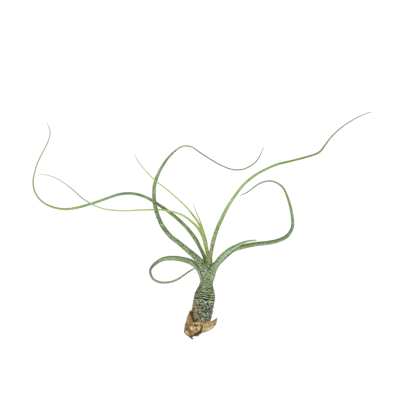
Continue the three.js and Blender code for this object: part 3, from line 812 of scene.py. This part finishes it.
# Each scale: its name and node, its azimuth, seed, fray, crumple and folds, its straw and brown, its route
# and its tones.
SCALES = [
    ("left_dry_scale", "dry_scale_left", 155, 61, 0.1, 0.9, 0, dye(156, 128, 86), dye(120, 90, 54), [
        (-6.6, -24, 7.8, 4.4, 40), (-7.3, -22.3, 7.9, 8.4, 52), (-6.7, -20.3, 8, 8.8, 51),
        (-5, -16, 8, 9, 43), (-3.8, -11.5, 8.2, 9.1, 20), (-2.9, -8.8, 8.3, 9.2, 8),
        (-2.5, -7.5, 8.4, 9.2, 3),
    ], [
        # The left scale's dark streak from (-10.6, -7) is painted shade of the gap at its tip.
        (-9.8, -19.2, -8.2, -21.6, 1.3, 1), (-14.2, -19.4, -8.6, -23.4, 0.7, -0.7),
        (-14.2, -22, -12.6, -24, 1, 0.9), (-10.6, -7, -8.2, -14, 0.8, -1), (-12.4, -10, -12.2, -15, 0.9, 0.5),
    ]),
    ("right_dry_scale", "dry_scale_right", 65, 67, 0.06, 0.4, 0.16, dye(190, 172, 126), dye(158, 134, 88), [
        (-5, -21.4, 7.6, 4.6, 32), (-3, -19.4, 8.2, 5.4, 44), (0, -17.4, 9, 6, 56),
        (3.8, -16.3, 9.9, 5.2, 60), (7, -15.2, 10.5, 4, 48), (9, -13.3, 10.9, 2.5, 36),
        (10.6, -11, 11, 1, 12),
    ], [
        (-1, -21.2, 4.6, -20.6, 2, 0.5), (4.6, -20.6, 7.2, -18.6, 1.6, 0.4), (1, -14.4, 9.6, -13, 2, -0.45),
        (9, -16.4, 9.2, -18, 1.4, -0.45), (-5.6, -25, -3.6, -24, 1.6, -0.9),
    ]),
    ("front_dry_scale", "dry_scale_front", 87, 71, 0.15, 0.9, 0, dye(180, 156, 112), dye(146, 118, 78), [
        (-7, -23.4, 5.5, 8.8, 12), (-6.5, -22.4, 5.8, 9, 20), (-5.6, -20.9, 6.2, 9.3, 27),
        (-4.8, -19.2, 6.7, 9.3, 29), (-4.4, -17.7, 7, 9.3, 28), (-4.3, -16.3, 7.1, 9.3, 22),
        (-4.5, -15.1, 7, 9.3, 14),
    ], [
        # The front scale's first two dark streaks are painted shade of holes in it.
        (-6.8, -17.6, -5.4, -17.4, 1.1, -1), (-5.6, -20.8, -5.4, -20.8, 0.7, -1),
        (-8.2, -19.8, -7, -19.4, 1.1, 0.8), (-3.8, -19.2, -3.2, -20.6, 1, 0.8),
        (-2.2, -17, -1, -19.2, 1, -0.6), (-1, -19.2, -2.4, -22.2, 1.1, -0.7),
        (-2.4, -22.3, -6.8, -25.4, 1.7, -0.8), (-6, -16, -2.8, -15.4, 0.7, 0.5),
    ]),
]
for name, node, azimuth, seed, fray, crumple, folds, straw, brown, route, tones in SCALES:
    rings = scale_rings(azimuth, route, PAPER_WALL, seed, fray, crumple, folds, tones)
    scale = pull_skin(name, rings, SCALE_MARKS)
    fold_shade_and_relief = FOLD_SHADE if folds else 0
    dark, rust, bleach = dye(84, 66, 46), dye(160, 106, 56), dye(150, 148, 104)
    paper_paint(scale, name + "_paper", straw, brown, dark, rust, bleach, fold_shade_and_relief)
    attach(scale, "root")
    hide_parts(node)

# ---- The dead roots
#
# Two short stubs of old wiry roots, 1 to 2 mm thick, that fork from the end of the stem. They are dark,
# brittle and broken off short. Each is pulled along its route like a scale, but closed all round.

ROOT_AZIMUTH = 90
ROOT_CRUMPLE = 0.15
PALE_FLECK = [(-8.4, -26.8, -8, -26.6, 0.7, 1)]
ROOTS = [
    ("left_root", "root_stub_left", 81, [
        (-7.2, -25.2, 7.4, 0.8, 90), (-8.8, -25.8, 6.9, 0.95, 90), (-10.4, -26.4, 6.3, 0.95, 90),
        (-11.4, -26.9, 5.8, 0.5, 90),
    ]),
    ("right_root", "root_stub_right", 83, [
        (-8.4, -25, 8.8, 0.7, 90), (-9.8, -25.9, 8.7, 0.85, 90), (-9.9, -27, 8.4, 0.85, 90),
        (-8.4, -28.4, 8, 0.5, 90),
    ]),
]
for name, node, seed, route in ROOTS:
    rings = scale_rings(
        ROOT_AZIMUTH, route, wall=0, seed=seed, fray=0, crumple=ROOT_CRUMPLE, tones=PALE_FLECK,
    )
    root = pull_skin(name, rings, SCALE_MARKS, tip=blade_tip(rings))
    brown, straw = dye(60, 48, 34), dye(96, 80, 56)
    paper_paint(root, name + "_bark", straw, brown, dark=dye(30, 24, 18), rust=brown, bleach=straw)
    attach(root, "root")
    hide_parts(node)

# ---- Floor, light and camera
#
# The plant lies on a pale card that glows a little, so that its white isn't greyed by shadows. One wide,
# soft sun stands nearly overhead, and a weak one at the side fills in. The camera looks straight down.

FLOOR_SIDE = 60
FLOOR_DROP = 0.05
FLOOR_WHITE = 0.15
LIGHT_TABLE = 0.87
ROOM_LIGHT = 0.85
floor_mesh = bmesh.new()
bmesh.ops.create_grid(floor_mesh, x_segments=2, y_segments=2, size=FLOOR_SIDE / 2)
bmesh.ops.translate(floor_mesh, verts=list(floor_mesh.verts), vec=(0, 0, -FLOOR_DROP * MM))
floor_data = bpy.data.meshes.new("floor")
floor_mesh.to_mesh(floor_data)
floor_mesh.free()
floor = bpy.data.objects.new("floor", floor_data)
bpy.context.scene.collection.objects.link(floor)
card = bpy.data.materials.new("white_card")
card.use_nodes = True
card_inputs = card.node_tree.nodes["Principled BSDF"].inputs
card_inputs["Base Color"].default_value = (FLOOR_WHITE, FLOOR_WHITE, FLOOR_WHITE, 1)
card_inputs["Roughness"].default_value = 0.9
card_inputs["Specular IOR Level"].default_value = 0.1
card_inputs["Emission Color"].default_value = (1, 1, 1, 1)
card_inputs["Emission Strength"].default_value = LIGHT_TABLE
floor.data.materials.append(card)

world = bpy.data.worlds.new("soft_room")
world.use_nodes = True
room_inputs = world.node_tree.nodes["Background"].inputs
room_inputs["Color"].default_value = (1, 1, 1, 1)
room_inputs["Strength"].default_value = ROOM_LIGHT
bpy.context.scene.world = world

for name, strength, spread, tilt, turn in (("key", 2.0, 60, 8, -30), ("fill", 0.25, 90, 50, 150)):
    lamp = bpy.data.lights.new(name, "SUN")
    lamp.energy = strength
    lamp.angle = math.radians(spread)
    lamp_object = bpy.data.objects.new(name, lamp)
    lamp_object.rotation_euler = (math.radians(tilt), 0, math.radians(turn))
    bpy.context.scene.collection.objects.link(lamp_object)

bpy.context.scene.view_settings.view_transform = "Standard"

CAMERA_LENS = 1500
CAMERA_DISTANCE = 13.3333
PHOTO_MIDDLE = (-2.8, 82.8)
lens = bpy.data.cameras.new("camera")
lens.lens = CAMERA_LENS
lens.sensor_width = 36
lens.clip_end = 100
camera = bpy.data.objects.new("camera", lens)
camera.location = (PHOTO_MIDDLE[0] * MM, PHOTO_MIDDLE[1] * MM, CAMERA_DISTANCE)
bpy.context.scene.collection.objects.link(camera)
bpy.context.scene.camera = camera
